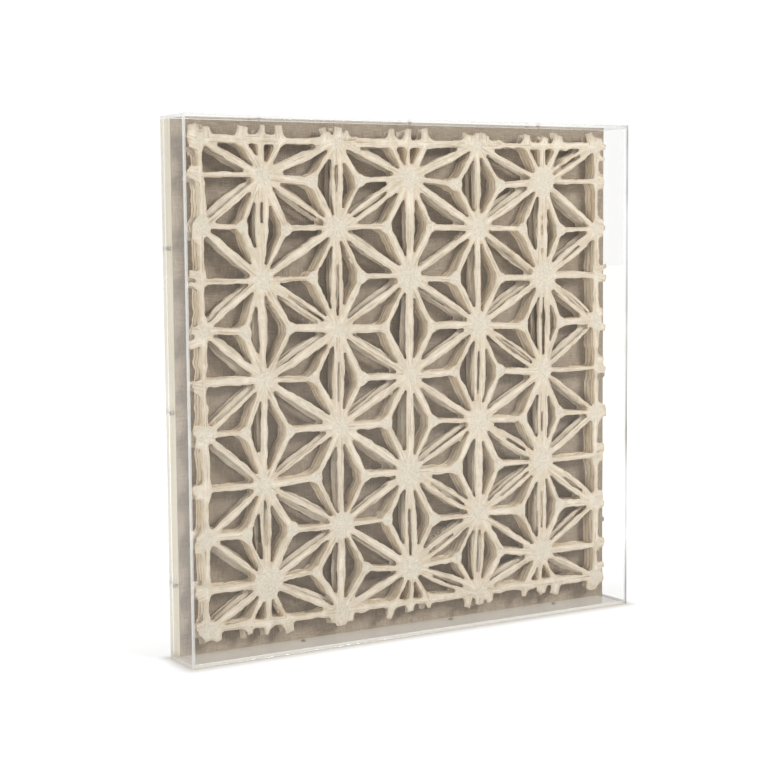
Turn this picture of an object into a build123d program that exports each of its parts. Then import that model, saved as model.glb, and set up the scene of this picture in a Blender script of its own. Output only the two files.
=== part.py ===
"""Framed layered paper art: a star lattice of hand-cut paper in a clear acrylic case.

Millimetres. X runs to the right, Y to the back and Z up. The origin lies under the middle of the case,
on the surface that it stands on. The front faces -Y.
"""

from build123d import *
import math
import os
import random

# Case of five clear sheets, bonded at their edges
case_width = 610.0
case_height = 610.0
case_depth = 62.0
pane_thickness = 4.0

# Back frame of four mitred rails that fills the back of the case
rail_width = 44.0
rail_depth = 16.5
rail_clearance = 0.3

# Board let into a rebate along the rails' inner edge, and the linen glued over both
board_thickness = 3.0
board_lap = 10.0
board_clearance = 0.3
linen_thickness = 0.9

# Star lattice: stars in staggered columns, with the outermost stars on a border strip. It was hung a little
# above the middle of the linen, and its stars lie a little to the left within the border
lattice_margin = 27.0
lattice_rise = 4.5
star_shift = -4.7
columns_to_border_share = 2.8175
rows_to_border_share = 2.3633
even_columns = (-2, 0, 2)
odd_columns = (-3, -1, 1, 3)
even_rows = (-2, -1, 0, 1, 2)
half_step_share = 0.5
fan_shares = (-0.255, 0.0, 0.255)

# Paper of the lattice, and how far a hand cut strays from the drawn line
sheet_thickness = 2.2
long_strut_width = 8.4
short_strut_width = 6.6
border_width = 9.5
strut_belly = 1.3
knot_drift = 1.6
hand_width_share = 0.16
back_hand_seed = 11
middle_hand_seed = 12
front_hand_seed = 13

# Stubs of paper that stand out past the border strip
tab_width = 8.5
tab_length = 8.0
tab_skew = 1.5
hand_tab_share = 0.3

# Stacks of paper scraps that carry the sheets
back_spacer_height = 3.0
middle_spacer_height = 5.2
front_spacer_height = 5.2
star_spacer_radius = 9.5
knot_spacer_radius = 6.5
border_spacer_length = 13.0
border_spacer_width = 6.5
star_spacer_side_count = 4
knot_spacer_side_count = 3
half_turn_deg = 180

# Countersunk screws through the side panes into the rails
screw_setback = 12.4
screw_head_radius = 3.4
screw_shank_radius = 1.7
screw_head_depth = 1.7
screw_length = 18.0
screw_recess = 0.1
screw_clearance = 0.2
screw_flat_count = 8
screw_place_shares = {
    "left": (0.14, 0.46, 0.76),
    "right": (0.17, 0.48, 0.79),
    "top": (0.19, 0.52, 0.83),
    "bottom": (0.27, 0.61, 0.87),
}

# Keyhole slots routed into the back of the top rail
hanger_spacing = 406.4
keyhole_radius = 4.75
keyhole_slot_radius = 2.4
keyhole_rise = 11.0
keyhole_lip = 3.5
keyhole_depth = 9.0

cut_overrun = 1.0

# Planes and spans worked out from the sizes above
front_y = -case_depth / 2
back_y = case_depth / 2
middle_z = case_height / 2
inner_half_width = case_width / 2 - pane_thickness
inner_half_height = case_height / 2 - pane_thickness
frame_half_width = inner_half_width - rail_clearance
frame_half_height = inner_half_height - rail_clearance
frame_front_y = back_y - rail_depth
linen_front_y = frame_front_y - linen_thickness
lattice_half_width = inner_half_width - lattice_margin
lattice_half_height = inner_half_height - lattice_margin
lattice_z = middle_z + lattice_rise
column_pitch = lattice_half_width / columns_to_border_share
row_pitch = lattice_half_height / rows_to_border_share
keyhole_z = middle_z + frame_half_height - rail_width / 2


def block(low, high):
    """A box between two corners."""
    size = [top - bottom for bottom, top in zip(low, high)]
    centre = [(top + bottom) / 2 for bottom, top in zip(low, high)]
    return Pos(*centre) * Box(*size)


def turned(profile):
    """A slim turned form along Z through (radius, height) points, drawn with flats to keep it light."""
    sections = [Pos(0, 0, height) * RegularPolygon(radius, screw_flat_count) for radius, height in profile]
    return loft(sections, ruled=True)


def facing_plane(x, y, z):
    """A plane that looks to the front, with its own x to the right and its own y up."""
    return Plane(origin=(x, y, z), x_dir=(1, 0, 0), z_dir=(0, -1, 0))


# Screws


def screw_place(side, share):
    """Plane on a pane's outer face with its z axis pointing into the case."""
    y = back_y - screw_setback
    across = share * case_width - case_width / 2
    up = share * case_height
    origin, inward = {
        "left": ((-case_width / 2, y, up), (1, 0, 0)),
        "right": ((case_width / 2, y, up), (-1, 0, 0)),
        "top": ((across, y, case_height), (0, 0, -1)),
        "bottom": ((across, y, 0), (0, 0, 1)),
    }[side]
    return Plane(origin=origin, z_dir=inward)


def screw_places(side):
    return [screw_place(side, share) for share in screw_place_shares[side]]


def case_screw():
    """Flat-head wood screw with its head just under the pane's outer face."""
    neck = screw_recess + screw_head_depth
    return turned(
        [
            (screw_head_radius, screw_recess),
            (screw_shank_radius, neck),
            (screw_shank_radius, screw_length),
        ]
    )


def case_screws():
    return [place * case_screw() for side in screw_place_shares for place in screw_places(side)]


def screw_hole(clearance):
    """Countersunk hole for such a screw. The head seats in its cone, and the bore has the given clearance."""
    bore = screw_shank_radius + clearance
    slope_share = (screw_head_radius - screw_shank_radius) / screw_head_depth
    mouth = screw_head_radius + (screw_recess + cut_overrun) * slope_share
    neck = screw_recess + (screw_head_radius - bore) / slope_share
    return turned([(mouth, -cut_overrun), (bore, neck), (bore, screw_length + screw_clearance)])


def drilled(solid, side, clearance):
    """The solid with the holes for one side's screws."""
    for place in screw_places(side):
        solid -= place * screw_hole(clearance)
    return solid


# Clear case


def front_pane():
    return block((-case_width / 2, front_y, 0), (case_width / 2, front_y + pane_thickness, case_height))


def level_pane(side, low_z):
    low = (-case_width / 2, front_y + pane_thickness, low_z)
    high = (case_width / 2, back_y, low_z + pane_thickness)
    return drilled(block(low, high), side, screw_clearance)


def upright_pane(side, low_x):
    low = (low_x, front_y + pane_thickness, pane_thickness)
    high = (low_x + pane_thickness, back_y, case_height - pane_thickness)
    return drilled(block(low, high), side, screw_clearance)


# Back frame, board and linen


def rail_plane(side):
    """Plane at the middle of a rail's outer edge: its x along the rail, its y inward, its z to the front."""
    origin, along = {
        "bottom": ((0, back_y, middle_z - frame_half_height), (1, 0, 0)),
        "top": ((0, back_y, middle_z + frame_half_height), (-1, 0, 0)),
        "left": ((-frame_half_width, back_y, middle_z), (0, 0, -1)),
        "right": ((frame_half_width, back_y, middle_z), (0, 0, 1)),
    }[side]
    return Plane(origin=origin, x_dir=along, z_dir=(0, -1, 0))


def frame_rail(side):
    """One mitred rail with the rebate for the board along its inner edge."""
    half = frame_half_width if side in ("top", "bottom") else frame_half_height
    inner = half - rail_width
    outline = Polyline((-half, 0), (half, 0), (inner, rail_width), (-inner, rail_width), close=True)
    rail = extrude(make_face(outline), rail_depth)
    rebate = block(
        (-half, rail_width - board_lap, rail_depth - board_thickness),
        (half, rail_width + cut_overrun, rail_depth + cut_overrun),
    )
    return drilled(rail_plane(side) * (rail - rebate), side, 0)


def backing_board():
    half_width = frame_half_width - rail_width + board_lap - board_clearance
    half_height = frame_half_height - rail_width + board_lap - board_clearance
    return block(
        (-half_width, frame_front_y, middle_z - half_height),
        (half_width, frame_front_y + board_thickness, middle_z + half_height),
    )


def linen_sheet():
    return block(
        (-frame_half_width, linen_front_y, middle_z - frame_half_height),
        (frame_half_width, frame_front_y, middle_z + frame_half_height),
    )


# Star lattice


def within(value, limit):
    return max(-limit, min(limit, value))


def column_x(column):
    """Where a column of stars lies, from the middle of the lattice."""
    return column * column_pitch + star_shift


def knot_place(column, row):
    """Where a star lies, from the middle of the lattice. Stars past the border are drawn in onto it."""
    x = within(column_x(column), lattice_half_width)
    z = within(row * row_pitch, lattice_half_height)
    return (x, z)


def on_border(column, row):
    x, z = knot_place(column, row)
    return abs(x) >= lattice_half_width or abs(z) >= lattice_half_height


def odd_rows():
    """The staggered columns have their stars half a step off, and one star more than the even ones."""
    below = [row - half_step_share for row in even_rows]
    return below + [even_rows[-1] + half_step_share]


def all_knots():
    even = [(column, row) for column in even_columns for row in even_rows]
    odd = [(column, row) for column in odd_columns for row in odd_rows()]
    return even + odd


def middle_of(*points):
    return tuple(sum(values) / len(points) for values in zip(*points))


def star_triangles():
    """Triangles of neighbouring stars, each as three (column, row) knots, a border pair last."""
    triangles = []
    for even in even_columns:
        for odd in (even - 1, even + 1):
            for row in even_rows:
                triangles.append(((even, row), (odd, row - half_step_share), (odd, row + half_step_share)))
            for row in even_rows[:-1]:
                triangles.append(((odd, row + half_step_share), (even, row), (even, row + 1)))
    return triangles


def fan_points(column, end):
    """Ends of the short struts that fan out from a column's last star to the border strip."""
    x = column_x(column)
    return [(x + share * column_pitch, end * lattice_half_height) for share in fan_shares]


def lattice_cells(places):
    """The openings of the lattice: three corners each, with the half widths of the struts along its sides."""
    long, short, strip = long_strut_width / 2, short_strut_width / 2, border_width / 2
    cells = []
    for first, second, third in star_triangles():
        a, b, c = places[first], places[second], places[third]
        if abs(b[0]) >= lattice_half_width and abs(c[0]) >= lattice_half_width:
            foot = (b[0], a[1])
            cells.append(((a, b, foot), (long, strip, short)))
            cells.append(((c, a, foot), (long, short, strip)))
        else:
            knot = middle_of(a, b, c)
            cells += [((p, q, knot), (long, short, short)) for p, q in ((a, b), (b, c), (c, a))]
    for column in even_columns:
        for end in (-1, 1):
            star = places[(column, end * even_rows[-1])]
            outer_row = end * odd_rows()[-1]
            first_foot = places[(column - 1, outer_row)]
            last_foot = places[(column + 1, outer_row)]
            feet = [first_foot, *fan_points(column, end), last_foot]
            for index, (p, q) in enumerate(zip(feet, feet[1:])):
                first_half = long if index == 0 else short
                last_half = long if index == len(feet) - 2 else short
                cells.append(((star, p, q), (first_half, strip, last_half)))
    return cells


def distance_to_line(point, start, end):
    along = (end[0] - start[0], end[1] - start[1])
    across = (point[0] - start[0]) * along[1] - (point[1] - start[1]) * along[0]
    return abs(across) / math.hypot(*along)


def inset_corner(corner, after, before, half_after, half_before):
    """A cell's corner, drawn in by half a strut from the sides to the next and the last corner."""
    to_after = half_before / distance_to_line(after, corner, before)
    to_before = half_after / distance_to_line(before, corner, after)
    return tuple(c + to_after * (a - c) + to_before * (b - c) for c, a, b in zip(corner, after, before))


def cell_outline(corners, halves, belly, hand):
    """Points of one hand-cut opening. A belly makes the strut along its first side widest in the middle."""
    halves = [half * (1 + hand.uniform(-hand_width_share, hand_width_share)) for half in halves]
    points = []
    for i in range(3):
        after = corners[(i + 1) % 3]
        before = corners[i - 1]
        points.append(inset_corner(corners[i], after, before, halves[i], halves[i - 1]))
    if belly:
        side = middle_of(points[0], points[1])
        reach = math.dist(side, points[2])
        points.insert(1, tuple(s + (p - s) * belly / reach for s, p in zip(side, points[2])))
    return points


def tabs_along(half_length, places, out, hand):
    """Border points along one side, as (along, outward), with a stub of paper at each place."""
    points = [(-half_length - out, out)]
    for place in places:
        half = tab_width / 2 * (1 + hand.uniform(-hand_tab_share, hand_tab_share))
        reach = out + tab_length * (1 + hand.uniform(-hand_tab_share, hand_tab_share))
        slant = hand.uniform(-tab_skew, tab_skew)
        points += [(place - half, out), (place - half + slant, reach)]
        points += [(place + half + slant, reach), (place + half, out)]
    return points


def level_stubs():
    """Where stubs stand out along the top and the bottom, from the middle."""
    fans = [x for column in even_columns for x, _ in fan_points(column, 1)]
    return sorted(fans + [column_x(column) for column in odd_columns[1:-1]])


def upright_stubs():
    """Where stubs stand out along the left and the right, from the middle."""
    return sorted(row * row_pitch for row in (*even_rows, *odd_rows()[1:-1]))


def sheet_outline(level, upright, hand):
    """Outer edge of one sheet: the border strip with its stubs, once round."""
    out = border_width / 2
    width, height = lattice_half_width, lattice_half_height
    bottom = [(s, -height - o) for s, o in tabs_along(width, level, out, hand)]
    right = [(width + o, s) for s, o in tabs_along(height, upright, out, hand)]
    top = [(-s, height + o) for s, o in tabs_along(width, level, out, hand)]
    left = [(-width - o, -s) for s, o in tabs_along(height, upright, out, hand)]
    return bottom + right + top + left


def lattice_sheet(back, seed, belly=0, level=(), upright=()):
    """One sheet of the lattice, cut by hand, with its back face and its stubs where they are given."""
    hand = random.Random(seed)
    places = {}
    for key in all_knots():
        x, z = knot_place(*key)
        free = 0 if on_border(*key) else knot_drift
        places[key] = (x + hand.uniform(-free, free), z + hand.uniform(-free, free))
    openings = [cell_outline(corners, halves, belly, hand) for corners, halves in lattice_cells(places)]
    outer = Wire.make_polygon(sheet_outline(level, upright, hand))
    face = Face(outer, [Wire.make_polygon(opening) for opening in openings])
    return facing_plane(0, back, lattice_z) * extrude(face, sheet_thickness)


def star_spacer(column, row):
    """Outline of the scraps under one star."""
    x, z = knot_place(column, row)
    if abs(x) >= lattice_half_width:
        outline = Rectangle(border_spacer_width, border_spacer_length)
    elif abs(z) >= lattice_half_height:
        outline = Rectangle(border_spacer_length, border_spacer_width)
    else:
        outline = RegularPolygon(star_spacer_radius, star_spacer_side_count)
    return Pos(x, z) * outline


def knot_spacers():
    """Outlines of the scraps under the three-way knots, each with its corners along the short struts."""
    outlines = []
    for triangle in star_triangles():
        if not all(on_border(*key) for key in triangle[1:]):
            corners = [knot_place(*key) for key in triangle]
            x, z = middle_of(*corners)
            turn = half_turn_deg if corners[0][0] < x else 0
            outline = RegularPolygon(knot_spacer_radius, knot_spacer_side_count)
            outlines.append(Pos(x, z) * Rot(0, 0, turn) * outline)
    return outlines


def spacers(back, height, with_knots=False):
    """Stacks of paper scraps that stand on the given y, under the stars and, where wanted, the knots."""
    outlines = [star_spacer(*key) for key in all_knots()]
    if with_knots:
        outlines += knot_spacers()
    return [facing_plane(0, back, lattice_z) * extrude(outline, height) for outline in outlines]


# Hanging slots in the back of the top rail


def keyhole(entry_radius, slot_radius):
    """Round entry below and a narrow slot above it."""
    entry = Pos(0, -keyhole_rise / 2) * Circle(entry_radius)
    slot = Rectangle(2 * slot_radius, keyhole_rise) + Pos(0, keyhole_rise / 2) * Circle(slot_radius)
    return entry + slot


def keyhole_cut():
    """What a keyhole bit takes out: a narrow slot through the lip, then room for a wall screw's head."""
    narrow = keyhole(keyhole_radius, keyhole_slot_radius)
    wide = keyhole(keyhole_radius, keyhole_radius)
    lip = Pos(0, 0, -cut_overrun) * extrude(narrow, keyhole_lip + cut_overrun)
    return lip + Pos(0, 0, keyhole_lip) * extrude(wide, keyhole_depth - keyhole_lip)


def top_rail():
    rail = frame_rail("top")
    for side in (-1, 1):
        rail -= facing_plane(side * hanger_spacing / 2, back_y, keyhole_z) * keyhole_cut()
    return rail


# Stack of the lattice, from the linen to the front
back_sheet_y = linen_front_y - back_spacer_height
middle_spacer_y = back_sheet_y - sheet_thickness
middle_sheet_y = middle_spacer_y - middle_spacer_height
front_spacer_y = middle_sheet_y - sheet_thickness
front_sheet_y = front_spacer_y - front_spacer_height

nodes = {
    "front_pane": front_pane(),
    "top_pane": level_pane("top", case_height - pane_thickness),
    "bottom_pane": level_pane("bottom", 0),
    "left_pane": upright_pane("left", -case_width / 2),
    "right_pane": upright_pane("right", case_width / 2 - pane_thickness),
    "frame_rail_top": top_rail(),
    "frame_rail_bottom": frame_rail("bottom"),
    "frame_rail_left": frame_rail("left"),
    "frame_rail_right": frame_rail("right"),
    "backing_board": backing_board(),
    "linen_sheet": linen_sheet(),
    "spacers_back": Compound(spacers(linen_front_y, back_spacer_height)),
    "lattice_back": lattice_sheet(back_sheet_y, back_hand_seed),
    "spacers_middle": Compound(spacers(middle_spacer_y, middle_spacer_height)),
    "lattice_middle": lattice_sheet(middle_sheet_y, middle_hand_seed, level=level_stubs()),
    "spacers_front": Compound(spacers(front_spacer_y, front_spacer_height, with_knots=True)),
    "lattice_front": lattice_sheet(
        front_sheet_y, front_hand_seed, belly=strut_belly, level=level_stubs(), upright=upright_stubs()
    ),
    "case_screws": Compound(case_screws()),
}

os.makedirs("parts", exist_ok=True)
for name, solid in nodes.items():
    export_step(solid, f"parts/{name}.step")
    print(name, round(solid.volume))
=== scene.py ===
# %% [markdown]
# # Framed layered paper art
#
# A lattice of hemp-leaf stars, cut by hand from thick handmade paper, hangs in three layers over a linen
# ground. A clear acrylic case closes it in, screwed to a cream wood frame at the back. The model of its
# sizes comes in as a fixed frame, in metres, and each piece here is dressed in place over that frame.

import math

import bpy
import numpy as np
from mathutils import Matrix, Vector


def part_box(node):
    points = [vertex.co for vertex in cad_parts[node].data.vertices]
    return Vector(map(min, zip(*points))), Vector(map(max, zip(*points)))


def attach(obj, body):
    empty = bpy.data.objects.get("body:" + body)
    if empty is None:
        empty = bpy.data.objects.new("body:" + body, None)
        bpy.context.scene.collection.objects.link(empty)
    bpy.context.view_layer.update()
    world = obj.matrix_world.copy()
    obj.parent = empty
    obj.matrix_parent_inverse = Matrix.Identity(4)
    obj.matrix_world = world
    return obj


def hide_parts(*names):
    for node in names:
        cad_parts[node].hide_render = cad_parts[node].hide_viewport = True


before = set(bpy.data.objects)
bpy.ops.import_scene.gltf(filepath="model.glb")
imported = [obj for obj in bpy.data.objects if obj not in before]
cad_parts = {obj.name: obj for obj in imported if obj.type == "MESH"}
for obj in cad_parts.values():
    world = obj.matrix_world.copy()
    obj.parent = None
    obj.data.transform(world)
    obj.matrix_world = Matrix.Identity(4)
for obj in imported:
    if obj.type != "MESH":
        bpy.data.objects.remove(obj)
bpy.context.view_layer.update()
print("frame nodes:", len(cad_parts))


# %% [markdown]
# Every piece is made the same way: start a primitive with nothing else selected, shape it, apply its
# modifiers, and hand it over, hanging it on the root and hiding the frame node that it stands for. These
# small helpers keep those habits in one place, so that a later cell shows only what is special about its
# piece.

# %% Small habits
MM = 0.001


def deselect():
    if bpy.context.object and bpy.context.object.mode != "OBJECT":
        bpy.ops.object.mode_set(mode="OBJECT")
    bpy.ops.object.select_all(action="DESELECT")


def only(piece):
    """Makes one piece the selected and active one."""
    deselect()
    piece.select_set(True)
    bpy.context.view_layer.objects.active = piece


def apply_modifier(piece, kind, **settings):
    only(piece)
    modifier = piece.modifiers.new(kind.title(), kind)
    for key, value in settings.items():
        setattr(modifier, key, value)
    bpy.ops.object.modifier_apply(modifier=modifier.name)


def points_of(piece):
    values = np.empty(len(piece.data.vertices) * 3, np.float32)
    piece.data.vertices.foreach_get("co", values)
    return values.reshape(-1, 3).astype(np.float64)


def set_points(piece, points):
    piece.data.vertices.foreach_set("co", np.asarray(points, np.float32).ravel())
    piece.data.update()


def hand_over(piece, slot, *nodes):
    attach(piece, "root")
    if nodes:
        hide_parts(*nodes)
    piece.data.calc_loop_triangles()
    print(piece.name, "triangles:", len(piece.data.loop_triangles))


# %% [markdown]
# Materials are node trees. Writing a tree out link by link hides its idea, so `put` adds one node, sets its
# values and connects whatever sockets it is given, and a finish then reads from top to bottom like a recipe.

# %% Recipes for finishes
def new_finish(name):
    finish = bpy.data.materials.new(name)
    finish.use_nodes = True
    finish.node_tree.nodes.clear()
    return finish, finish.node_tree


def put(tree, kind, inputs=None, **settings):
    node = tree.nodes.new("ShaderNode" + kind)
    for key, value in settings.items():
        setattr(node, key, value)
    for key, value in (inputs or {}).items():
        if isinstance(value, bpy.types.NodeSocket):
            tree.links.new(value, node.inputs[key])
        else:
            node.inputs[key].default_value = value
    return node


def place_of(tree, scale=(1, 1, 1)):
    """Object coordinates, stretched by a scale along each axis."""
    where = put(tree, "TexCoord").outputs["Object"]
    return put(tree, "Mapping", {"Vector": where, "Scale": scale}).outputs["Vector"]


def noise(tree, vector, scale=1.0, detail=3.0, roughness=0.55, distortion=0.0):
    inputs = {"Vector": vector, "Scale": scale, "Detail": detail}
    inputs.update({"Roughness": roughness, "Distortion": distortion})
    return put(tree, "TexNoise", inputs).outputs["Fac"]


def ramp(tree, factor, *stops):
    node = put(tree, "ValToRGB", {"Fac": factor})
    elements = node.color_ramp.elements
    while len(elements) < len(stops):
        elements.new(0.5)
    for element, (position, colour) in zip(elements, stops):
        element.position = position
        element.color = (*colour, 1.0)
    return node.outputs["Color"]


def sums(tree, operation, first, second):
    return put(tree, "Math", {0: first, 1: second}, operation=operation).outputs[0]


def tint(tree, factor, first, second, kind="MIX"):
    node = put(tree, "Mix", {0: factor, 6: first, 7: second}, data_type="RGBA", blend_type=kind)
    return node.outputs[2]


def relief(tree, height, depth, normal=None):
    inputs = {"Height": height, "Distance": depth, "Strength": 1.0}
    if normal is not None:
        inputs["Normal"] = normal
    return put(tree, "Bump", inputs).outputs["Normal"]


def close(tree, surface):
    put(tree, "OutputMaterial", {"Surface": surface})


def coloured(*rgb):
    return (*rgb, 1.0)


# %% [markdown]
# Handmade paper is long fibre laid down wet. On the struts the fibre runs lengthwise, so its streaks have to
# follow each strut wherever it points. A texture on object coordinates can't turn with the strut, so the
# sheet carries a UV map, "strands", with metres along the strut in U and metres across it in V. A noise that
# is stretched along U then draws fibre. The hearts of the stars, where many strips were pressed together,
# have a fine grain instead, and near the rounded cut edges the paper is painted a darker tan in patches:
# painted shade where the edge falls back.

# %% Cream paper
def cream_paper():
    finish, tree = new_finish("cream_paper")
    strands = put(tree, "UVMap", uv_map="strands").outputs["UV"]
    coarse_place = put(tree, "Mapping", {"Vector": strands, "Scale": (16, 420, 1)}).outputs["Vector"]
    fine_place = put(tree, "Mapping", {"Vector": strands, "Scale": (45, 1500, 1)}).outputs["Vector"]
    coarse = noise(tree, coarse_place, 1.0, 3.0, 0.6, 0.4)
    fine = noise(tree, fine_place, 1.0, 3.0, 0.6)
    blotch = noise(tree, place_of(tree), 70.0, 4.0, 0.6)
    grain = noise(tree, place_of(tree), 560.0, 4.0, 0.75)
    heart = put(tree, "Attribute", attribute_name="heart").outputs["Fac"]
    fibre = sums(tree, "ADD", sums(tree, "MULTIPLY", coarse, 0.7), sums(tree, "MULTIPLY", fine, 0.3))
    streaks = ramp(
        tree,
        fibre,
        (0.31, (0.26, 0.177, 0.113)),
        (0.40, (0.47, 0.40, 0.31)),
        (0.47, (0.565, 0.512, 0.427)),
        (0.66, (0.64, 0.588, 0.502)),
    )
    patches = ramp(tree, blotch, (0.35, (0.84, 0.80, 0.74)), (0.62, (1.05, 1.05, 1.04)))
    paper = tint(tree, 1.0, streaks, patches, "MULTIPLY")
    # Painted shade: near the rounded cut edges, in patches, the paper is darkened to tan.
    cut = put(tree, "Attribute", attribute_name="cut").outputs["Fac"]
    painted_shade_patches = put(tree, "MapRange", {"Value": blotch, "From Min": 0.38, "From Max": 0.62}).outputs["Result"]
    paper = tint(tree, sums(tree, "MULTIPLY", cut, painted_shade_patches), paper, coloured(0.455, 0.36, 0.255))
    rough = (0.36, (0.40, 0.352, 0.281)), (0.48, (0.485, 0.438, 0.361)), (0.62, (0.565, 0.52, 0.438))
    pressed = ramp(tree, grain, *rough)
    colour = tint(tree, sums(tree, "MULTIPLY", heart, 0.9), paper, pressed)
    smooth = sums(tree, "SUBTRACT", 1.0, sums(tree, "MULTIPLY", heart, 0.85))
    creases = relief(tree, sums(tree, "MULTIPLY", fibre, smooth), 0.0018)
    normal = relief(tree, sums(tree, "ADD", grain, blotch), 0.0009, creases)
    inputs = {"Base Color": colour, "Roughness": 0.9, "Normal": normal, "Specular IOR Level": 0.2}
    close(tree, put(tree, "BsdfPrincipled", inputs).outputs["BSDF"])
    return finish


def stacked_edges():
    """Cut edges of pasted sheets: tan, in thin lines that run along the cut."""
    finish, tree = new_finish("stacked_paper")
    lines = noise(tree, place_of(tree, (26, 620, 26)), 1.0, 4.0, 0.65, 0.3)
    broad = noise(tree, place_of(tree), 45.0, 3.0)
    streaks = ramp(
        tree,
        lines,
        (0.33, (0.47, 0.345, 0.222)),
        (0.42, (0.70, 0.585, 0.428)),
        (0.55, (0.80, 0.70, 0.55)),
        (0.70, (0.85, 0.77, 0.64)),
    )
    shade = ramp(tree, broad, (0.35, (0.90, 0.86, 0.80)), (0.62, (1.0, 1.0, 1.0)))
    colour = tint(tree, 1.0, streaks, shade, "MULTIPLY")
    normal = relief(tree, lines, 0.0016)
    inputs = {"Base Color": colour, "Roughness": 0.9, "Normal": normal, "Specular IOR Level": 0.2}
    close(tree, put(tree, "BsdfPrincipled", inputs).outputs["BSDF"])
    return finish


paper_finish = cream_paper()
edge_finish = stacked_edges()
print("finishes:", paper_finish.name, edge_finish.name)


# %% [markdown]
# The star lattice is drawn on a triangular grid. Stars stand in staggered columns, long struts join each star
# to its six neighbours, and in each triangle of stars three short struts meet in a knot. Stars that would
# fall past the border are drawn in onto it. All of this is measured in millimetres from the middle.

# %% Draw the star pattern
COLUMN, ROW, BORDER = 97.25, 115.94, 274.0
MIDDLE_HEIGHT = 309.5
STAR_SHIFT, STAR_SLOPE = -4.7, -0.012
EVEN_COLUMNS, ODD_COLUMNS = (-2, 0, 2), (-3, -1, 1, 3)
EVEN_ROWS, ODD_ROWS = (-2, -1, 0, 1, 2), (-2.5, -1.5, -0.5, 0.5, 1.5, 2.5)
FAN = (-0.255, 0.0, 0.255)


def star_spot(column, row):
    across = column * COLUMN + STAR_SHIFT
    return np.clip(np.array([across, row * ROW + STAR_SLOPE * across]), -BORDER, BORDER)


def star_triangles():
    triangles = []
    for even in EVEN_COLUMNS:
        for odd in (even - 1, even + 1):
            for row in EVEN_ROWS:
                triangles.append(((even, row), (odd, row - 0.5), (odd, row + 0.5)))
            for row in EVEN_ROWS[:-1]:
                triangles.append(((odd, row + 0.5), (even, row), (even, row + 1)))
    return triangles


def at_border(spot):
    return np.max(np.abs(spot)) >= BORDER


STARS = [(column, row) for column in EVEN_COLUMNS for row in EVEN_ROWS]
STARS += [(column, row) for column in ODD_COLUMNS for row in ODD_ROWS]
print("stars:", len(STARS), "triangles of stars:", len(star_triangles()))


# %% [markdown]
# A hand with a knife never repeats itself. Stars stray by up to two millimetres, and struts are a little
# wider or thinner and bow to one side. The layers are pasted up through the stars, the knots, the short
# struts and the border, so those are drawn alike in all three. The long struts hang free, so each layer draws
# its own, and many are split into two strands that part in the middle like the sides of a leaf.

# %% Let the hand stray
PATTERN_SEED, STRAY, KNOT_STRAY, SPREAD = 23, 2.2, 2.4, 0.36
STAR_RADIUS, BORDER_STAR_RADIUS, KNOT_RADIUS = 12.6, 8.0, 5.8
# Half widths of a strut in its middle and at its ends
SHORT, RIB, FAN_RIB = (3.5, 2.7), (3.4, 2.9), (3.0, 2.6)
UPRIGHT_LONG, SLANT_LONG = (4.8, 2.1), (3.9, 2.1)
UPRIGHT_STRANDS = (3.1, 2.0), (2.7, 2.0)
SLANT_STRANDS = (2.6, 2.0), (2.3, 2.0)
LEVEL_BORDER, UPRIGHT_BORDER, BORDER_RUNS = 3.9, 3.5, 11
STUB_ROOT = 5.4
# A strut this short draws a disc
SPECK = 0.1


def draw_layer(seed, bow, upright_split, slant_split, stubs):
    """Struts of one layer, each as a row of numbers and a kind.

    A row holds both ends, the half widths in the middle and at the ends, the bow to one side and the lean.
    """
    hand, common = np.random.default_rng(seed), np.random.default_rng(PATTERN_SEED)
    spots = {}
    for key in STARS:
        spot = star_spot(*key)
        spots[key] = spot if at_border(spot) else spot + common.uniform(-STRAY, STRAY, 2)
    struts, seen = [], set()

    def strut(a, b, middle, end, kind, side=None):
        draw = hand if kind in ("long", "split", "stub") else common
        width, lean = draw.uniform(1 - SPREAD, 1 + SPREAD), draw.uniform(0.6, 1.55)
        side = draw.uniform(-1.5, 1.5) if side is None else side
        struts.append(((*a, *b, middle * width, end * (0.4 + 0.6 * width), side, lean), kind))

    def long_strut(a, b):
        upright = abs(a[0] - b[0]) < 10
        if hand.random() < (upright_split if upright else slant_split):
            apart, off = hand.uniform(4.2, 5.9), hand.uniform(-1.0, 1.0)
            outer, inner = UPRIGHT_STRANDS if upright else SLANT_STRANDS
            strut(a, b, *outer, "split", off + apart)
            strut(a, b, *inner, "split", off - apart)
        else:
            whole = UPRIGHT_LONG if upright else SLANT_LONG
            strut(a, b, *whole, "long", hand.uniform(-bow, bow))

    for first, second, third in star_triangles():
        a, b, c = spots[first], spots[second], spots[third]
        edge_pair = abs(b[0]) >= BORDER and abs(c[0]) >= BORDER
        for p, q in ((first, second), (second, third), (third, first)):
            pair = tuple(sorted((p, q)))
            if pair not in seen and not (edge_pair and pair == tuple(sorted((second, third)))):
                seen.add(pair)
                long_strut(spots[p], spots[q])
        if edge_pair:
            strut(a, np.array([b[0], a[1]]), *RIB, "short")
        else:
            knot = (a + b + c) / 3 + common.uniform(-KNOT_STRAY, KNOT_STRAY, 2)
            for star in (a, b, c):
                strut(star, knot, *SHORT, "short")
            strut(knot, knot + SPECK, KNOT_RADIUS, KNOT_RADIUS, "knot", 0.0)
    for column in EVEN_COLUMNS:
        for end in (-1, 1):
            star = spots[(column, end * 2)]
            for share in FAN:
                foot = np.array([star[0] + share * COLUMN, end * BORDER])
                strut(star, foot, *FAN_RIB, "short")
    for key in STARS:
        radius = BORDER_STAR_RADIUS if at_border(spots[key]) else STAR_RADIUS
        strut(spots[key], spots[key] + SPECK, radius, radius, "star", 0.0)
    draw_border(strut)
    for spot, out, length in stub_places(hand) if stubs else []:
        strut(spot, spot + out * length, hand.uniform(2.9, 5.6), STUB_ROOT, "stub", 0.0)
    return struts


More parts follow.
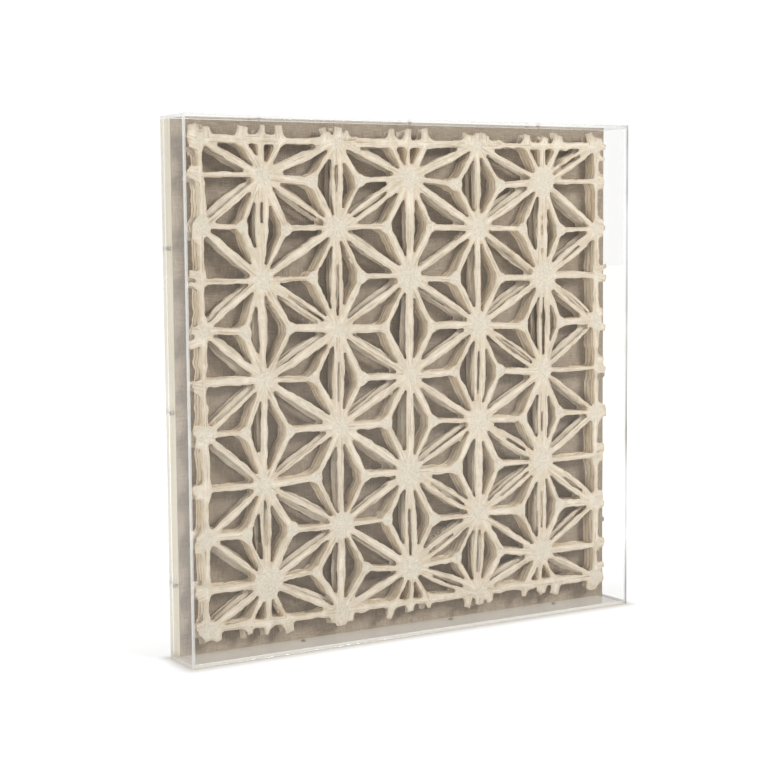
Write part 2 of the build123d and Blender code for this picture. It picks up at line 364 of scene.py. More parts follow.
def draw_border(strut):
    """Border strips in short runs, so that each run has its own width."""
    ticks = np.linspace(-BORDER, BORDER, BORDER_RUNS + 1)
    for low, high in zip(ticks, ticks[1:]):
        for side in (-BORDER, BORDER):
            strut(np.array([low, side]), np.array([high, side]), LEVEL_BORDER, LEVEL_BORDER, "border")
            strut(np.array([side, low]), np.array([side, high]), UPRIGHT_BORDER, UPRIGHT_BORDER, "border")


def stub_places(hand):
    """Torn stubs that stand out past the border: a spot on the border, the way out and how far."""
    level = [column * COLUMN + STAR_SHIFT + share * COLUMN for column in EVEN_COLUMNS for share in FAN]
    level += [column * COLUMN + STAR_SHIFT + shift for column in (-1, 1) for shift in (-11, 0, 11)]
    upright = [row * ROW + shift for row in EVEN_ROWS for shift in (-4, 4)]
    upright += [row * ROW + shift for row in ODD_ROWS[1:-1] for shift in (-8, 6)]
    corners = [-BORDER - 2, 9 - BORDER, BORDER - 9, BORDER + 2]
    places = []
    for side in (-1, 1):
        for spot in level + corners:
            place = np.array([spot + hand.uniform(-3, 3), side * BORDER])
            places.append((place, np.array([hand.uniform(-0.35, 0.35), side]), hand.uniform(10.5, 17.5)))
        for spot in upright + corners:
            place = np.array([side * BORDER, spot + hand.uniform(-3, 3)])
            places.append((place, np.array([side, hand.uniform(-0.35, 0.35)]), hand.uniform(10.0, 17.0)))
    return places


sample = draw_layer(1, 1.0, 0.0, 0.0, False)
print("struts in a layer without splits and stubs:", len(sample))


# %% [markdown]
# To cut a sheet along a soft, irregular line, ask of any point how far it is from the paper's edge: negative
# inside a strut, positive in an opening. Struts are joined by a rounded minimum, which leaves the small
# fillets that a knife leaves in a corner. The same answer says which strut a point belongs to, so the fibre
# can follow it.

# %% Distance to the cut line
# Width that the noise covers, distance of a point in the open, and how far past its edge a strut is felt
FIELD, FAR, REACH = 700.0, 20.0, 8.0
FILLET, SLIT_FILLET = 5.4, 2.6


def soft_noise(points, cell, seed):
    """Smooth noise from -1 to 1 over the sheet, with bumps of about one cell in millimetres."""
    hand = np.random.default_rng(seed)
    size = int(FIELD / cell) + 4
    table = hand.uniform(-1, 1, (size, size))
    grid = (points + FIELD / 2) / cell
    low = np.clip(np.floor(grid).astype(int), 0, size - 2)
    part = np.clip(grid - low, 0, 1)
    part = part * part * (3 - 2 * part)
    i, j = low[:, 0], low[:, 1]
    u, v = part[:, 0], part[:, 1]
    near = table[i, j] * (1 - u) + table[i + 1, j] * u
    far = table[i, j + 1] * (1 - u) + table[i + 1, j + 1] * u
    return near * (1 - v) + far * v


def along_strut(points, row):
    """Millimetres along and across one strut for each point, and the strut's length."""
    start, run = np.array(row[:2]), np.array(row[2:4]) - np.array(row[:2])
    length = np.hypot(*run)
    offset = points - start
    along = offset @ run / length
    across = (offset[:, 0] * run[1] - offset[:, 1] * run[0]) / length
    return along, across, length


def belly(share, lean):
    """How far a strut has swelled, from 0 at its ends to 1 where it is widest."""
    return np.clip(np.sin(np.pi * np.clip(share, 0, 1) ** lean), 0, 1) ** 0.8


def cut_line(points, struts, seed):
    """Distance of each point from the paper's edge, and the strut that it belongs to."""
    distance = np.full(len(points), FAR)
    nearest = np.full(len(points), FAR)
    owner = np.zeros(len(points), int)
    for index, (row, kind) in enumerate(struts):
        middle, end, side, lean = row[4:]
        reach = max(middle, end) + REACH
        low = np.minimum(row[:2], row[2:4]) - reach
        high = np.maximum(row[:2], row[2:4]) + reach
        near = np.flatnonzero(np.all((points > low) & (points < high), axis=1))
        if not len(near):
            continue
        along, across, length = along_strut(points[near], row)
        inside = np.clip(along, 0, length)
        swell = belly(inside / length, lean) if length > 1 else np.zeros(len(near))
        across = across - side * swell
        if kind == "stub":
            half = end + (middle - end) * inside / length
            gap = np.maximum(np.abs(across) - half, np.abs(along - length / 2) - length / 2)
        else:
            half = end + (middle - end) * swell
            gap = np.hypot(across, along - inside) - half
        old = distance[near]
        fillet = SLIT_FILLET if kind == "split" else FILLET
        blend = np.maximum(fillet - np.abs(old - gap), 0) / fillet
        distance[near] = np.minimum(old, gap) - blend * blend * fillet / 4
        mine = gap < nearest[near]
        if kind not in ("star", "knot"):
            owner[near[mine]] = index
            nearest[near[mine]] = gap[mine]
    ragged = 0.8 * soft_noise(points, 9.0, PATTERN_SEED) + 0.4 * soft_noise(points, 3.5, seed + 1)
    return distance + ragged, owner


from_edge = cut_line(np.zeros((1, 2)), sample, 1)[0][0]
print("the middle of the sheet lies", round(float(from_edge), 1), "mm from a cut, less than 0 in paper")


# %% [markdown]
# Now the sheet itself: a fine upright grid, with every face whose middle lies in an opening deleted, and the
# ragged stair of boundary points that is left pulled onto the cut line. It is the way a jigsaw follows a
# pencil line: cut roughly first, then file up to it.

# %% Cut a sheet
SHEET_HALF = 297.0


def add_grid(name, half_size, step):
    """An upright grid that looks to the front, in millimetres."""
    deselect()
    count = int(round(2 * half_size / step))
    bpy.ops.mesh.primitive_grid_add(x_subdivisions=count, y_subdivisions=count, size=2 * half_size)
    piece = bpy.context.object
    piece.name = piece.data.name = name
    flat = points_of(piece)
    set_points(piece, np.column_stack([flat[:, 0], np.zeros(len(flat)), flat[:, 1]]))
    return piece


def delete_faces(piece, doomed):
    only(piece)
    bpy.ops.object.mode_set(mode="EDIT")
    bpy.ops.mesh.select_all(action="DESELECT")
    bpy.ops.mesh.select_mode(type="FACE")
    bpy.ops.object.mode_set(mode="OBJECT")
    piece.data.polygons.foreach_set("select", doomed)
    bpy.ops.object.mode_set(mode="EDIT")
    bpy.ops.mesh.delete(type="FACE")
    bpy.ops.object.mode_set(mode="OBJECT")


def face_middles(piece):
    values = np.empty(len(piece.data.polygons) * 3, np.float32)
    piece.data.polygons.foreach_get("center", values)
    return values.reshape(-1, 3)[:, [0, 2]].astype(np.float64)


def without_pinches(keep, middles, half_size, step):
    """Fills one-cell gaps and cells that meet only at a corner, where a sheet can't be given a thickness."""
    count = int(round(2 * half_size / step))
    i, j = np.floor((middles + half_size) / (2 * half_size / count)).astype(int).T
    cells = np.zeros((count + 2, count + 2), bool)
    cells[i + 1, j + 1] = keep
    for _ in range(4):
        beside = [np.roll(cells, shift, axis) for axis in (0, 1) for shift in (-1, 1)]
        cells |= np.sum(beside, axis=0) >= 3
        east, north, far = np.roll(cells, -1, 0), np.roll(cells, -1, 1), np.roll(cells, (-1, -1), (0, 1))
        falling = cells & far & ~east & ~north
        rising = east & north & ~cells & ~far
        cells |= np.roll(falling, 1, 0) | rising
    return cells[i + 1, j + 1]


def rim_points(piece):
    """Points on the sheet's open edges."""
    mesh = piece.data
    used = np.empty(len(mesh.loops), np.int32)
    mesh.loops.foreach_get("edge_index", used)
    ends = np.empty(len(mesh.edges) * 2, np.int32)
    mesh.edges.foreach_get("vertices", ends)
    open_edges = np.bincount(used, minlength=len(mesh.edges)) == 1
    return np.unique(ends.reshape(-1, 2)[open_edges])


def way_out(spots, line):
    """Unit direction in which the distance to the cut line grows."""
    step = 0.4
    east = line(spots + [step, 0]) - line(spots - [step, 0])
    north = line(spots + [0, step]) - line(spots - [0, step])
    slope = np.column_stack([east, north])
    return slope / np.maximum(np.linalg.norm(slope, axis=1, keepdims=True), 1e-6)


def cut_sheet(name, struts, seed, step, full=True):
    """A flat sheet cut to its line, in millimetres in the plane y = 0.

    Pinched places are mended by adding cells to a full sheet and by taking cells from any other.
    """

    def line(spots):
        return cut_line(spots, struts, seed)[0]

    piece = add_grid(name, SHEET_HALF, step)
    middles = face_middles(piece)
    wanted = (line(middles) < 0) == full
    doomed = without_pinches(wanted, middles, SHEET_HALF, step) != full
    delete_faces(piece, doomed)
    rim = rim_points(piece)
    points = points_of(piece)
    for _ in range(3):
        spots = points[rim][:, [0, 2]]
        shift = np.clip(line(spots), -step, step)[:, None] * way_out(spots, line)
        points[rim] -= np.column_stack([shift[:, 0], np.zeros(len(rim)), shift[:, 1]]) * 0.8
    set_points(piece, points)
    return piece


print("each sheet is cut from a square of", 2 * SHEET_HALF, "mm")


# %% [markdown]
# A flat cut-out looks like card. Wet paper that was pressed over a stack dries rounded at its edges and lumpy
# where strips cross, so each point is moved a little to the back near an edge and to the front in the heart
# of a star. Then Solidify gives the sheet its thickness, with the cut edge in a finish of its own.

# %% Shape a sheet
EDGE_ROUND = 3.4
# Each strut's fibre starts this far along and across the noise from the last one's, in metres
STRAND_SHIFT = np.array([0.37, 0.11])


def strand_map(piece, struts, seed):
    """UV map with metres along and across the strut that each face belongs to."""
    mesh = piece.data
    owner = cut_line(face_middles(piece), struts, seed)[1]
    corner = np.empty(len(mesh.loops), np.int32)
    mesh.loops.foreach_get("vertex_index", corner)
    sizes = np.empty(len(mesh.polygons), np.int32)
    mesh.polygons.foreach_get("loop_total", sizes)
    belongs = np.repeat(owner, sizes)
    spots = points_of(piece)[corner][:, [0, 2]]
    places = np.zeros((len(corner), 2))
    for index in np.unique(belongs):
        mine = np.flatnonzero(belongs == index)
        along, across, _ = along_strut(spots[mine], struts[index][0])
        places[mine] = np.column_stack([along * MM, across * MM]) + STRAND_SHIFT * index
    layer = mesh.uv_layers.new(name="strands")
    layer.data.foreach_set("uv", places.astype(np.float32).ravel())


def shape_sheet(piece, struts, seed, front, thickness, crown):
    """Rounds and rumples a cut sheet, gives it thickness and puts it in place.

    front is the y of its front face, and crown is how far its edges fall back.
    """
    strand_map(piece, struts, seed)
    points = points_of(piece)
    spots = points[:, [0, 2]]
    inside = np.clip(-cut_line(spots, struts, seed)[0], 0, None)
    hearts = [(row[:2], row[4]) for row, kind in struts if kind in ("star", "knot")]
    nearest = np.min([np.hypot(*(spots - place).T) / radius for place, radius in hearts], axis=0)
    heart = np.clip((1.25 - nearest - 0.3 * soft_noise(spots, 6.0, seed + 6)) / 0.35, 0, 1)
    edge = 1 - np.clip(inside / EDGE_ROUND, 0, 1)
    lumps = 0.55 * soft_noise(spots, 13.0, seed + 2) + 0.45 * soft_noise(spots, 4.2, seed + 3)
    wave = 0.6 * soft_noise(spots, 85.0, seed + 4)
    folds = 0.5 * np.abs(soft_noise(spots, 6.5, seed + 7)) * heart
    depth = crown * edge**2 - 0.5 * heart * (1 + lumps) + folds + 0.6 * lumps + wave
    points[:, 1] = front + 0.3 + depth
    points[:, 2] += MIDDLE_HEIGHT
    set_points(piece, points * MM)
    # cut marks the rounded edges, where the paper finish paints shade.
    for name, values in (("heart", heart), ("cut", edge**1.5)):
        mark = piece.data.attributes.new(name, "FLOAT", "POINT")
        mark.data.foreach_set("value", values.astype(np.float32))
    piece.data.materials.append(paper_finish)
    piece.data.materials.append(edge_finish)
    apply_modifier(piece, "SOLIDIFY", thickness=thickness * MM, offset=-1.0, material_offset_rim=1)
    only(piece)
    bpy.ops.object.shade_smooth_by_angle(angle=math.radians(55))


def paper_layer(name, node, drawing, seed, step, crown):
    piece = cut_sheet(name, drawing, seed, step)
    low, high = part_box(node)
    shape_sheet(piece, drawing, seed, low[1] / MM, (high[1] - low[1]) / MM - 0.2, crown)
    hand_over(piece, "cream_paper", node)


front_drawing = draw_layer(31, 1.6, 0.6, 0.2, True)
middle_drawing = draw_layer(47, 5.2, 0.5, 0.3, True)
back_drawing = draw_layer(59, 5.6, 0.4, 0.25, False)
paper_layer("paper_front", "lattice_front", front_drawing, 310, 2.1, 0.6)
paper_layer("paper_middle", "lattice_middle", middle_drawing, 470, 2.2, 0.5)
paper_layer("paper_back", "lattice_back", back_drawing, 590, 2.4, 0.5)


# %% [markdown]
# Between the layers, paper scraps are pasted up into stacks under the stars, the knots, the short struts and
# the border, so that from the side one sees a wall of sheet edges. Each stack starts as a flat cut-out of
# those places alone, a little narrower than the sheet in front. Extruding it in a few steps and pulling each
# step in or out a little gives the uneven edges.

# %% Paste up the stacks
STACK_STEP = 2.4
# How much narrower a stack is than the sheet, and the share of a long strut that has a stack under it
NARROWER = {"star": 0.5, "knot": 0.3, "short": 0.2, "border": 0.3}
ROOT_SHARE, ROOT_HALF = 0.22, 1.5


def stack_struts(struts):
    """The drawing of the stacks: stars, knots, short struts, the border, and the roots of the long struts."""
    rows = []
    for row, kind in struts:
        if kind in NARROWER:
            less = NARROWER[kind]
            rows.append(((*row[:4], row[4] - less, row[5] - less, *row[6:]), kind))
        elif kind == "long":
            a, b = np.array(row[:2]), np.array(row[2:4])
            for start, end in ((a, b), (b, a)):
                tip = start + ROOT_SHARE * (end - start)
                rows.append(((*start, *tip, ROOT_HALF, ROOT_HALF, 0.0, 1.0), kind))
    return rows


def paper_stack(name, node, seed, over, steps, hollow):
    """A stack behind the sheet of the drawing over, with its walls drawn in by hollow."""
    rows = stack_struts(over)

    def line(spots):
        return cut_line(spots, rows, seed)[0]

    piece = cut_sheet(name, rows, seed, STACK_STEP, full=False)
    low, high = (corner[1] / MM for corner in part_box(node))
    rim = rim_points(piece)
    rim_spots = points_of(piece)[rim][:, [0, 2]]
    out = way_out(rim_spots, line)
    only(piece)
    bpy.ops.object.mode_set(mode="EDIT")
    bpy.ops.mesh.select_all(action="SELECT")
    for _ in range(steps):
        move = {"value": (0, (high - low) / steps, 0)}
        bpy.ops.mesh.extrude_region_move(TRANSFORM_OT_translate=move)
    bpy.ops.object.mode_set(mode="OBJECT")
    points = points_of(piece)
    shares = points[:, 1] / (high - low)
    spots = points[:, [0, 2]]
    hand = np.random.default_rng(seed)
    lookup = {tuple(np.round(spot, 3)): way for spot, way in zip(rim_spots, out)}
    ways = np.array([lookup.get(tuple(np.round(spot, 3)), (0.0, 0.0)) for spot in spots])
    level = np.clip(np.round(shares * steps).astype(int), 0, steps)
    ragged = hand.uniform(-0.4, 0.3, steps + 1)[level] + 0.35 * soft_noise(spots, 9.0, seed + 5)
    pull = ragged - hollow * np.sin(np.pi * np.clip(shares, 0, 1))
    points[:, [0, 2]] += ways * pull[:, None]
    points[:, 1] = low + 0.6 + shares * (high - low - 0.2)
    points[:, 2] += MIDDLE_HEIGHT
    set_points(piece, points * MM)
    only(piece)
    bpy.ops.object.mode_set(mode="EDIT")
    bpy.ops.mesh.select_all(action="SELECT")
    bpy.ops.mesh.normals_make_consistent(inside=False)
    bpy.ops.object.mode_set(mode="OBJECT")
    piece.data.materials.append(edge_finish)
    bpy.ops.object.shade_smooth_by_angle(angle=math.radians(40))
    hand_over(piece, "stacked_paper", node)


paper_stack("stack_front", "spacers_front", 71, front_drawing, 4, 0.4)
paper_stack("stack_middle", "spacers_middle", 73, middle_drawing, 4, 0.4)
paper_stack("stack_back", "spacers_back", 79, back_drawing, 2, 0.2)


# %% [markdown]
# The ground is a grey-taupe linen, glued flat over its board. A plain weave shows as two crossing sets of
# uneven threads, so the finish takes the mean of two noises, each stretched along its own thread, and adds a
# fine over-and-under ripple to the relief. The cloth is a grid with the faintest slack in it.

# %% Linen
LINEN_STEP, LINEN_THICKNESS, LINEN_SLACK = 6.0, 0.6, 0.12


def linen_cloth():
    finish, tree = new_finish("linen")
    warp = noise(tree, place_of(tree, (880, 1, 70)), 1.0, 3.0, 0.7)
    weft = noise(tree, place_of(tree, (70, 1, 880)), 1.0, 3.0, 0.7)
    slub = noise(tree, place_of(tree), 24.0, 3.0)
    up = put(tree, "TexWave", {"Vector": place_of(tree), "Scale": 390.0}, bands_direction="X")
    across = put(tree, "TexWave", {"Vector": place_of(tree), "Scale": 390.0}, bands_direction="Z")
    threads = sums(tree, "MULTIPLY", sums(tree, "ADD", warp, weft), 0.5)
    shade = ramp(
        tree,
        threads,
        (0.36, (0.232, 0.18, 0.128)),
        (0.50, (0.348, 0.28, 0.207)),
        (0.64, (0.484, 0.40, 0.304)),
    )
    patches = ramp(tree, slub, (0.35, (0.90, 0.89, 0.88)), (0.62, (1.0, 1.0, 1.0)))
    colour = tint(tree, 1.0, shade, patches, "MULTIPLY")
    ripple = sums(tree, "MULTIPLY", sums(tree, "ADD", up.outputs["Fac"], across.outputs["Fac"]), 0.25)
    normal = relief(tree, sums(tree, "ADD", threads, ripple), 0.001)
    inputs = {"Base Color": colour, "Roughness": 0.92, "Normal": normal, "Sheen Weight": 0.15}
    close(tree, put(tree, "BsdfPrincipled", inputs).outputs["BSDF"])
    return finish


low, high = (np.array(corner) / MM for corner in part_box("linen_sheet"))
linen = add_grid("linen_cloth", (high[0] - low[0]) / 2, LINEN_STEP)
cloth = points_of(linen)
cloth[:, 1] = low[1] + 0.15 + LINEN_SLACK * soft_noise(cloth[:, [0, 2]], 60.0, 5)
cloth[:, 2] += (low[2] + high[2]) / 2
set_points(linen, cloth * MM)
linen.data.materials.append(linen_cloth())
apply_modifier(linen, "SOLIDIFY", thickness=LINEN_THICKNESS * MM, offset=-1.0)
only(linen)
bpy.ops.object.shade_smooth_by_angle(angle=math.radians(40))
hand_over(linen, "linen", "linen_sheet")


# %% [markdown]
# Clear acrylic is mostly seen by its edges: light that enters a sheet runs along it and comes out white at
# the rim, while the faces only mirror, and more so at a grazing angle. So the faces mix clear and mirror by
# the angle of view, and the rims get a milky white, a painted glow for that light. The rims at the back and
# at the right, which look away from the camera, have finishes of their own; the right one carries dark bands,
# a painted reflection of the dark room. Each pane is a cube set to its box, with its edges eased.

# %% Clear acrylic
# Bevel and glue gap in millimetres, and how squarely a face has to look along an axis
EASED, BOND, SQUARE_ON = 0.35, 0.05, 0.9


def acrylic_face():
    finish, tree = new_finish("clear_acrylic")
    smear = noise(tree, place_of(tree), 9.0, 3.0)
    span = {"Value": smear, "From Min": 0.35, "From Max": 0.7, "To Min": 0.0, "To Max": 0.03}
    dull = put(tree, "MapRange", span).outputs["Result"]
    clear = put(tree, "BsdfTransparent", {"Color": coloured(0.985, 0.985, 0.982)}).outputs["BSDF"]
    mirror = put(tree, "BsdfGlossy", {"Color": coloured(0.98, 0.98, 0.98), "Roughness": dull}).outputs["BSDF"]
    grazing = sums(tree, "POWER", put(tree, "LayerWeight", {"Blend": 0.5}).outputs["Facing"], 5.0)
    share = sums(tree, "MULTIPLY_ADD", grazing, 0.85)
    share.node.inputs[2].default_value = 0.02
    close(tree, put(tree, "MixShader", {0: share, 1: clear, 2: mirror}).outputs["Shader"])
    return finish


def acrylic_rim():
    finish, tree = new_finish("acrylic_rim")
    saw = noise(tree, place_of(tree, (300, 300, 300)), 1.0, 2.0)
    # Painted glow: the milky white stands for the light piped along the sheet to its rim.
    painted_glow_colour = ramp(tree, saw, (0.3, (0.80, 0.795, 0.78)), (0.7, (0.90, 0.895, 0.88)))
    painted_glow_surface = put(tree, "BsdfPrincipled", {"Base Color": painted_glow_colour, "Roughness": 0.2, "Specular IOR Level": 0.6})
    clear = put(tree, "BsdfTransparent", {"Color": coloured(0.88, 0.88, 0.87)}).outputs["BSDF"]
    close(tree, put(tree, "MixShader", {0: 0.4, 1: clear, 2: painted_glow_surface.outputs["BSDF"]}).outputs["Shader"])
    return finish


def acrylic_back_edge():
    """The polished back edge, which throws the light inside the sheet back at the frame."""
    finish, tree = new_finish("acrylic_back_edge")
    saw = noise(tree, place_of(tree, (300, 300, 300)), 1.0, 2.0)
    bright = ramp(tree, saw, (0.3, (0.93, 0.935, 0.93)), (0.7, (0.98, 0.98, 0.98)))
    mirror = put(tree, "BsdfGlossy", {"Color": bright, "Roughness": 0.06}).outputs["BSDF"]
    clear = put(tree, "BsdfTransparent", {"Color": coloured(0.96, 0.97, 0.965)}).outputs["BSDF"]
    close(tree, put(tree, "MixShader", {0: 0.85, 1: clear, 2: mirror}).outputs["Shader"])
    return finish


def acrylic_right_edge():
    """The edge that is turned away from the camera: clear, with uneven dark bands, a painted reflection of
    the dark room.
    """
    finish, tree = new_finish("acrylic_right_edge")
    bands = noise(tree, place_of(tree, (1, 1, 7)), 1.0, 2.0)
    # Painted reflection: the dark bands stand for the room mirrored in the edge.
    painted_dark_reflection = ramp(tree, bands, (0.38, (0.30, 0.295, 0.285)), (0.62, (0.78, 0.775, 0.77)))
    close(tree, put(tree, "BsdfTransparent", {"Color": painted_dark_reflection}).outputs["BSDF"])
    return finish


acrylic_finishes = acrylic_face(), acrylic_rim(), acrylic_back_edge(), acrylic_right_edge()
FACE, RIM, BACK_EDGE, RIGHT_EDGE = range(len(acrylic_finishes))


def pane(node, through):
    """A pane over its frame node. through is the axis that its thickness runs along."""
    low, high = (np.array(corner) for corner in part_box(node))
    if node != "front_pane":
        low[1] += BOND * MM
    deselect()
    bpy.ops.mesh.primitive_cube_add(size=1.0)
    piece = bpy.context.object
    piece.name = piece.data.name = "clear_" + node
    set_points(piece, (low + high) / 2 + points_of(piece) * (high - low))
    apply_modifier(piece, "BEVEL", width=EASED * MM, segments=2)
    for finish in acrylic_finishes:
        piece.data.materials.append(finish)
    for face in piece.data.polygons:
        if abs(face.normal[through]) > SQUARE_ON:
            face.material_index = FACE
        elif face.normal[1] > SQUARE_ON:
            face.material_index = BACK_EDGE
        else:
            face.material_index = RIGHT_EDGE if face.normal[0] > SQUARE_ON else RIM
    hand_over(piece, "clear_acrylic", node)


pane("front_pane", 1)
pane("top_pane", 2)
pane("bottom_pane", 2)
pane("left_pane", 0)
pane("right_pane", 0)


# %% [markdown]
# The back frame's shape is already right in the model of sizes, so its rails stay and only get their paint:
# cream, brushed along the rail, a little thin over the grain. The board in its rebate is bare hardboard.

# %% Paint and board
def cream_paint(name, along):
    finish, tree = new_finish(name)
    strokes = noise(tree, place_of(tree, along), 1.0, 4.0, 0.6)
    stops = (0.30, (0.60, 0.53, 0.405)), (0.5, (0.66, 0.595, 0.465)), (0.7, (0.69, 0.63, 0.505))
    colour = ramp(tree, strokes, *stops)
    normal = relief(tree, strokes, 0.0004)
    inputs = {"Base Color": colour, "Roughness": 0.5, "Normal": normal}
    close(tree, put(tree, "BsdfPrincipled", inputs).outputs["BSDF"])
    return finish


def bare_board():
    finish, tree = new_finish("fibre_board")
    flecks = noise(tree, place_of(tree), 700.0, 4.0, 0.7)
    cloud = noise(tree, place_of(tree), 18.0, 3.0)
    mixed = sums(tree, "ADD", sums(tree, "MULTIPLY", flecks, 0.7), sums(tree, "MULTIPLY", cloud, 0.3))
    stops = (0.36, (0.15, 0.095, 0.05)), (0.5, (0.25, 0.17, 0.095)), (0.66, (0.36, 0.265, 0.165))
    colour = ramp(tree, mixed, *stops)
    inputs = {"Base Color": colour, "Roughness": 0.75, "Normal": relief(tree, flecks, 0.0003)}
    close(tree, put(tree, "BsdfPrincipled", inputs).outputs["BSDF"])
    return finish


def repaint(node, finish):
    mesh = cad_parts[node].data
    mesh.materials.clear()
    mesh.materials.append(finish)


level_paint = cream_paint("cream_wood_level", (9, 260, 260))
upright_paint = cream_paint("cream_wood_upright", (260, 260, 9))
for side in ("top", "bottom"):
    repaint("frame_rail_" + side, level_paint)
for side in ("left", "right"):
    repaint("frame_rail_" + side, upright_paint)
repaint("backing_board", bare_board())
print("painted rails and board")


# %% [markdown]
# The case is held by flat-head screws, three to a side, sunk flush. One screw is modelled at its real size
# along Z, with a cross recess cut by two thin blades, and copied to each place.

# %% Screws
HEAD_RADIUS, SHANK_RADIUS, HEAD_DEPTH = 3.4, 1.7, 1.7
SHANK_LENGTH, TIP_LENGTH = 13.0, 3.0
BLADES = (3.6, 0.7, 1.6), (0.7, 3.6, 1.6)
# Half the case's width, its height and its back, all in metres
CASE_HALF, CASE_HEIGHT, CASE_BACK = 0.305, 0.61, 0.031
SCREW_DEPTH, SCREW_RECESS = CASE_BACK - 0.0124, 0.0001
# How far along its side each screw stands, as a share
SCREW_SHARES = {
    "left": (0.14, 0.46, 0.76),
    "right": (0.17, 0.48, 0.79),
    "top": (0.19, 0.52, 0.83),
    "bottom": (0.27, 0.61, 0.87),
}


def steel():
    finish, tree = new_finish("screw_steel")
    rings = noise(tree, place_of(tree), 1600.0, 2.0)
    colour = ramp(tree, rings, (0.35, (0.40, 0.39, 0.37)), (0.65, (0.62, 0.61, 0.59)))
    normal = relief(tree, rings, 0.00008)
    inputs = {"Base Color": colour, "Metallic": 1.0, "Roughness": 0.38, "Normal": normal}
    close(tree, put(tree, "BsdfPrincipled", inputs).outputs["BSDF"])
    return finish


def one_screw():
    """Head at z = 0 with its face up, and the shank below it, in metres."""
    deselect()
    bpy.ops.mesh.primitive_cone_add(
        vertices=32,
        radius1=SHANK_RADIUS * MM,
        radius2=HEAD_RADIUS * MM,
        depth=HEAD_DEPTH * MM,
        location=(0, 0, -HEAD_DEPTH / 2 * MM),
    )
    head = bpy.context.object
    bpy.ops.object.transform_apply(location=True)
    bpy.ops.object.mode_set(mode="EDIT")
    bpy.ops.mesh.select_all(action="DESELECT")
    bpy.ops.mesh.select_mode(type="FACE")
    bpy.ops.object.mode_set(mode="OBJECT")
    for face in head.data.polygons:
        face.select = face.normal.z < -0.9
    bpy.ops.object.mode_set(mode="EDIT")
    bpy.ops.mesh.extrude_region_move(TRANSFORM_OT_translate={"value": (0, 0, -SHANK_LENGTH * MM)})
    bpy.ops.mesh.extrude_region_move(TRANSFORM_OT_translate={"value": (0, 0, -TIP_LENGTH * MM)})
    bpy.ops.transform.resize(value=(0.2, 0.2, 1.0))
    bpy.ops.object.mode_set(mode="OBJECT")
    for size in BLADES:
        bpy.ops.mesh.primitive_cube_add(size=1.0)
        blade = bpy.context.object
        set_points(blade, points_of(blade) * np.array(size) * MM)
        apply_modifier(head, "BOOLEAN", object=blade, operation="DIFFERENCE", solver="EXACT")
        bpy.data.objects.remove(blade)
    return head


def screw_places():
    """Where each screw's head lies, and the way it faces."""
    side_x, top_z = CASE_HALF - SCREW_RECESS, CASE_HEIGHT - SCREW_RECESS
    for side, shares in SCREW_SHARES.items():
        for share in shares:
            run = share * CASE_HEIGHT
            yield {
                "left": ((-side_x, SCREW_DEPTH, run), (-1, 0, 0)),
                "right": ((side_x, SCREW_DEPTH, run), (1, 0, 0)),
                "top": ((run - CASE_HALF, SCREW_DEPTH, top_z), (0, 0, 1)),
                "bottom": ((run - CASE_HALF, SCREW_DEPTH, SCREW_RECESS), (0, 0, -1)),
            }[side]


pattern = one_screw()
pattern.data.materials.append(steel())
copies = []
for number, (place, facing) in enumerate(screw_places()):
    copy = pattern.copy()
    copy.data = pattern.data.copy()
    bpy.context.collection.objects.link(copy)
    aim = Vector((0, 0, 1)).rotation_difference(Vector(facing)).to_matrix().to_4x4()
    twist = Matrix.Rotation(0.7 * number, 4, "Z")
    copy.data.transform(Matrix.Translation(place) @ aim @ twist)
    copies.append(copy)
bpy.data.objects.remove(pattern)
only(copies[0])
for copy in copies:
    copy.select_set(True)
bpy.ops.object.join()
screws = bpy.context.object
screws.name = screws.data.name = "flush_screws"
bpy.ops.object.shade_smooth_by_angle(angle=math.radians(35))
hand_over(screws, "screw_steel", "case_screws")


# %% [markdown]
# A pale floor and three soft lights, as in a product studio. The key stands at the upper right, in front, and
# makes the struts throw soft shadows down to the left on the linen. The fill stands far to the left and opens
# the walls of the stacks, and a weaker light keeps the back from going dark. The sky is white and gives the
# rest, and the floor glows, like a lit table, with a painted shadow: its glow is weaker close to the case.

# %% Floor and light
LOOK_AT = Vector((0, 0, 0.3))
DOME, SEEN_SKY, MIRRORED_SKY = 0.42, 1.05, 0.8


def pale_floor():
    finish, tree = new_finish("pale_floor")
    mottle = noise(tree, place_of(tree), 3.0, 2.0)
    colour = ramp(tree, mottle, (0.3, (0.19, 0.19, 0.19)), (0.7, (0.20, 0.20, 0.20)))
    where = put(tree, "TexCoord").outputs["Object"]
    side = put(tree, "VectorMath", {0: where}, operation="ABSOLUTE").outputs[0]
    foot = CASE_HALF, CASE_BACK, 0.0
    past = put(tree, "VectorMath", {0: side, 1: foot}, operation="SUBTRACT").outputs[0]
    clear = put(tree, "VectorMath", {0: past, 1: (0.0, 0.0, 0.0)}, operation="MAXIMUM").outputs[0]
    away = put(tree, "VectorMath", {0: clear}, operation="LENGTH").outputs["Value"]
    # Painted shadow: the floor's glow is darkest and warmest at the case's foot and rises away from it.
    stops = (0.0, (0.44, 0.40, 0.345)), (0.015, (0.76,) * 3), (0.12, (0.87,) * 3), (0.4, (0.97,) * 3)
    glow_with_painted_shadow = ramp(tree, away, *stops)
    inputs = {"Base Color": colour, "Roughness": 0.8, "Specular IOR Level": 0.1}
    inputs.update({"Emission Color": glow_with_painted_shadow, "Emission Strength": 1.0})
    close(tree, put(tree, "BsdfPrincipled", inputs).outputs["BSDF"])
    return finish


deselect()
bpy.ops.mesh.primitive_plane_add(size=30.0)
floor = bpy.context.object
floor.name = "floor"
floor.data.materials.append(pale_floor())


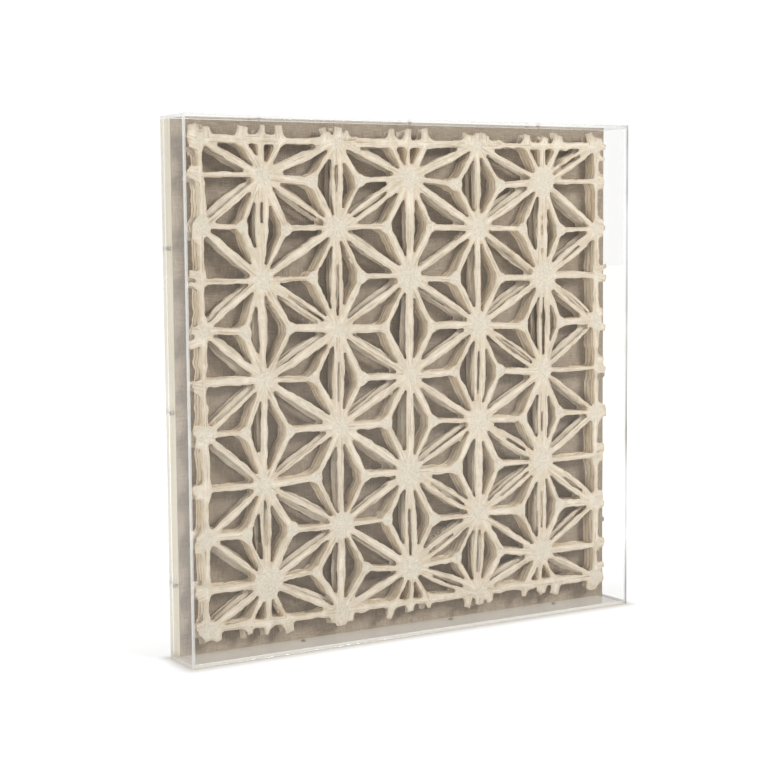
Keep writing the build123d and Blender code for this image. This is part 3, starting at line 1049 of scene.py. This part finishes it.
def soft_light(name, place, size, power):
    """A round lamp that looks at the case, with its size in metres and its power in watts."""
    light = bpy.data.lights.new(name, "AREA")
    light.shape, light.size, light.energy = "DISK", size, power
    lamp = bpy.data.objects.new(name, light)
    bpy.context.collection.objects.link(lamp)
    lamp.location = place
    lamp.rotation_euler = (LOOK_AT - Vector(place)).to_track_quat("-Z", "Y").to_euler()


soft_light("key", (1.7, -2.8, 2.2), 1.4, 152.0)
soft_light("fill", (-3.2, -2.0, 0.9), 1.4, 58.0)
soft_light("back", (0.9, 3.0, 2.0), 1.4, 45.0)
world = bpy.data.worlds.new("studio")
bpy.context.scene.world = world
world.use_nodes = True
sky = world.node_tree
sky.nodes.clear()
dome = put(sky, "Background", {"Color": coloured(1, 1, 1), "Strength": DOME}).outputs[0]
seen = put(sky, "Background", {"Color": coloured(1, 1, 1), "Strength": SEEN_SKY}).outputs[0]
path = put(sky, "LightPath").outputs
mirrored = sums(sky, "MULTIPLY", path["Is Glossy Ray"], MIRRORED_SKY)
direct = sums(sky, "MAXIMUM", path["Is Camera Ray"], mirrored)
put(sky, "OutputWorld", {"Surface": put(sky, "MixShader", {0: direct, 1: dome, 2: seen}).outputs[0]})
bpy.context.scene.view_settings.view_transform = "Standard"
print("studio is lit")


# %% [markdown]
# The camera stands to the left of the case and a little above its middle, far enough off for a long lens.

# %% Camera
CAMERA_SPOT, LENS, SENSOR = (-1.0858, -1.7386, 0.4843), 80.7, 36.0
YAW, PITCH, ROLL = (math.radians(angle) for angle in (31.08, -5.18, -0.49))
ahead = Vector((math.sin(YAW) * math.cos(PITCH), math.cos(YAW) * math.cos(PITCH), math.sin(PITCH)))
level = Vector((math.cos(YAW), -math.sin(YAW), 0))
upright = level.cross(ahead)
right = level * math.cos(ROLL) + upright * math.sin(ROLL)
up = upright * math.cos(ROLL) - level * math.sin(ROLL)
lens = bpy.data.cameras.new("camera")
lens.lens, lens.sensor_width = LENS, SENSOR
camera = bpy.data.objects.new("camera", lens)
bpy.context.collection.objects.link(camera)
turn = Matrix((right, up, -ahead)).transposed().to_4x4()
camera.matrix_world = Matrix.Translation(CAMERA_SPOT) @ turn
bpy.context.scene.camera = camera
print("camera looks", [round(value, 3) for value in ahead])
